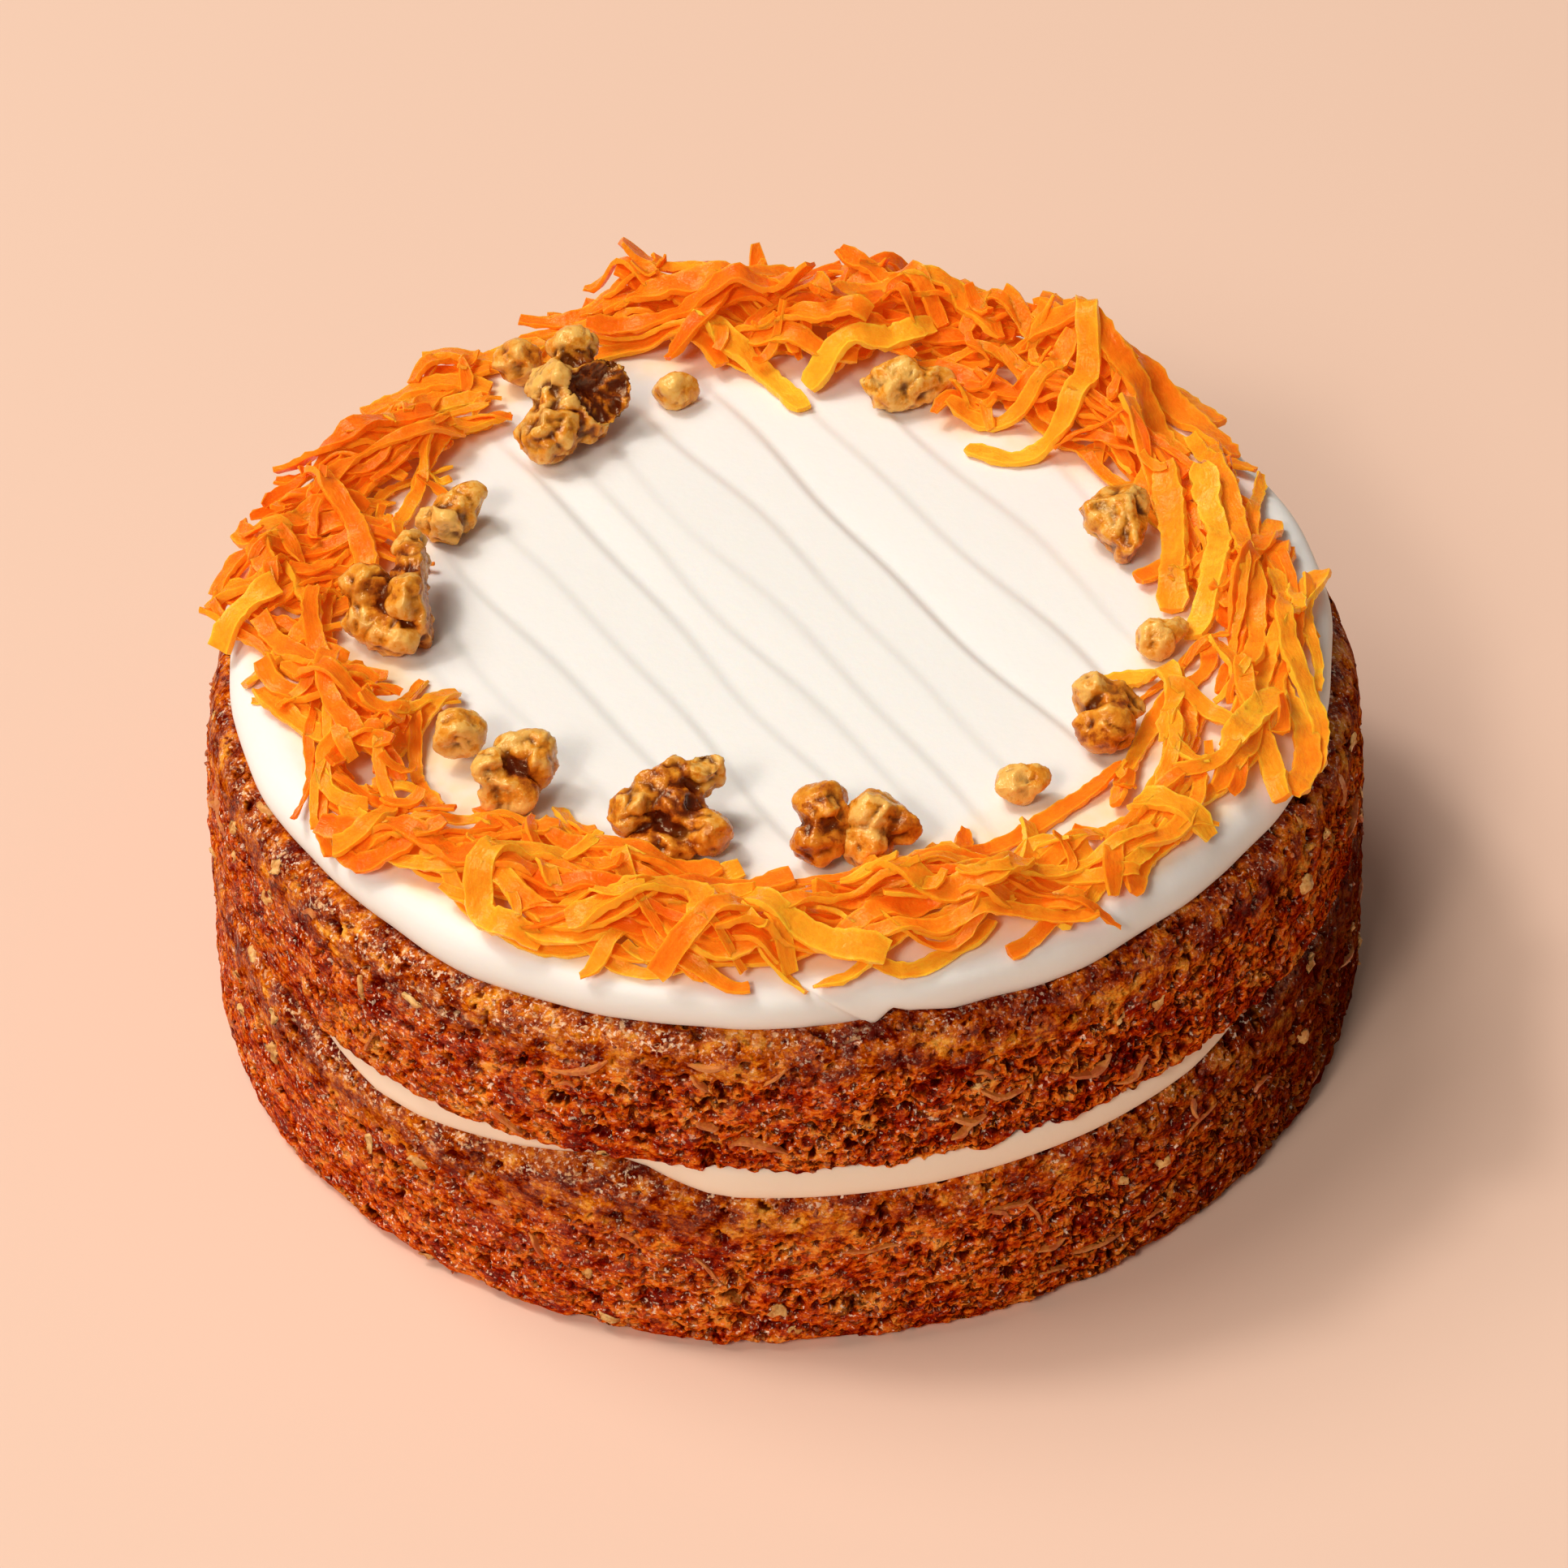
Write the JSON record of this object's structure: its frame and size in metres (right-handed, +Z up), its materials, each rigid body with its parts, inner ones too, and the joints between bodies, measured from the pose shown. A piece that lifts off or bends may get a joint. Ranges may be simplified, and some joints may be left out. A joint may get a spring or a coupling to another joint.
{
  "type": "carrot cake",
  "caption": "Round two-layer carrot cake with cream filling, white frosting with knife ridges, and a ring of grated carrot and walnut pieces.",
  "frame": {"origin": "centre of the flat base, on the surface that the cake stands on", "axes": "+Z up, -Y towards the front, +X to the right"},
  "size_m": [0.1997, 0.1998, 0.0887],
  "materials": {
    "sponge": "moist baked crumb, glossy at the shoulders",
    "cream": "smooth satin frosting",
    "carrot": "moist grated shreds",
    "walnut": "toasted, pale where broken and brown where skinned"
  },
  "bodies": {
    "root": {"sponge_bottom": "sponge", "filling": "cream", "sponge_top": "sponge", "frosting": "cream", "carrot_ring": "carrot", "walnut_back_left": "walnut", "walnut_behind_left": "walnut", "walnut_back_crumb": "walnut", "walnut_back_wedge": "walnut", "walnut_right_back": "walnut", "walnut_right_crumb": "walnut", "walnut_right_front": "walnut", "walnut_front_crumb": "walnut", "walnut_front_dark": "walnut", "walnut_front_pale": "walnut", "walnut_front_boot": "walnut", "walnut_front_left": "walnut", "walnut_left_crumbly": "walnut", "walnut_left_large": "walnut", "walnut_left_long": "walnut"}
  },
  "joints": []
}
